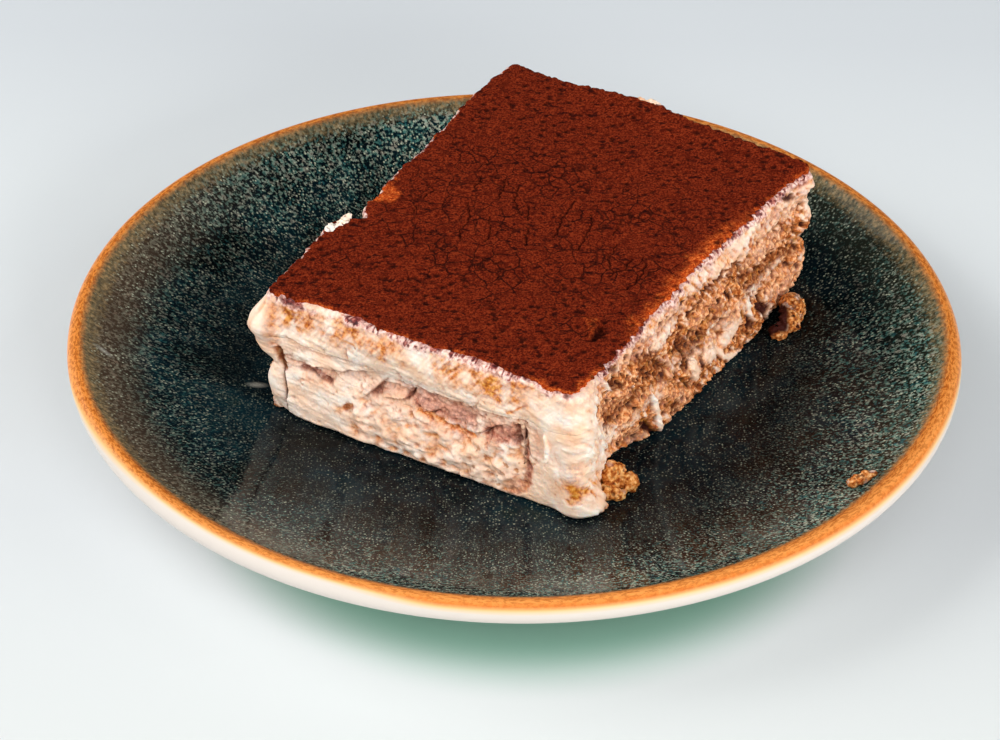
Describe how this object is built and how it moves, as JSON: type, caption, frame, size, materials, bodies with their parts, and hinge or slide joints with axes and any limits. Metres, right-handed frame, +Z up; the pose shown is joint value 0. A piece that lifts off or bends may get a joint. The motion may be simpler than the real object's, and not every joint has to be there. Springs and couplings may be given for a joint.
{
  "type": "tiramisu slice on a dessert plate",
  "caption": "Square-cut slice of layered coffee sponge and mascarpone cream dusted with cocoa, resting on a small speckled coupe plate with a brown rim.",
  "frame": {"origin": "centre of the plate's foot, on the surface it stands on", "axes": "+Z up; -Y towards the front rim, with the slice's near corner towards -Y and its cut faces towards -X-Y and +X"},
  "size_m": [0.2028, 0.2028, 0.0415],
  "materials": {
    "stoneware": "glossy dark green reactive glaze with pale specks, orange-brown lip, white underside",
    "sponge": "moist porous biscuit sponge smeared with cream",
    "soaked_sponge": "moist porous biscuit sponge soaked with coffee",
    "cream": "soft satin mascarpone cream",
    "cocoa": "matt dry cocoa powder with fine cracks",
    "crumb": "moist amber-brown sponge crumb"
  },
  "bodies": {
    "root": {"plate": "stoneware", "sponge_lower": "sponge", "cream_middle": "cream", "sponge_upper": "soaked_sponge", "cream_top": "cream", "cocoa": "cocoa", "sponge_chunk": "soaked_sponge", "crumb_cluster": "crumb", "crumb_on_plate": "crumb"}
  },
  "joints": []
}
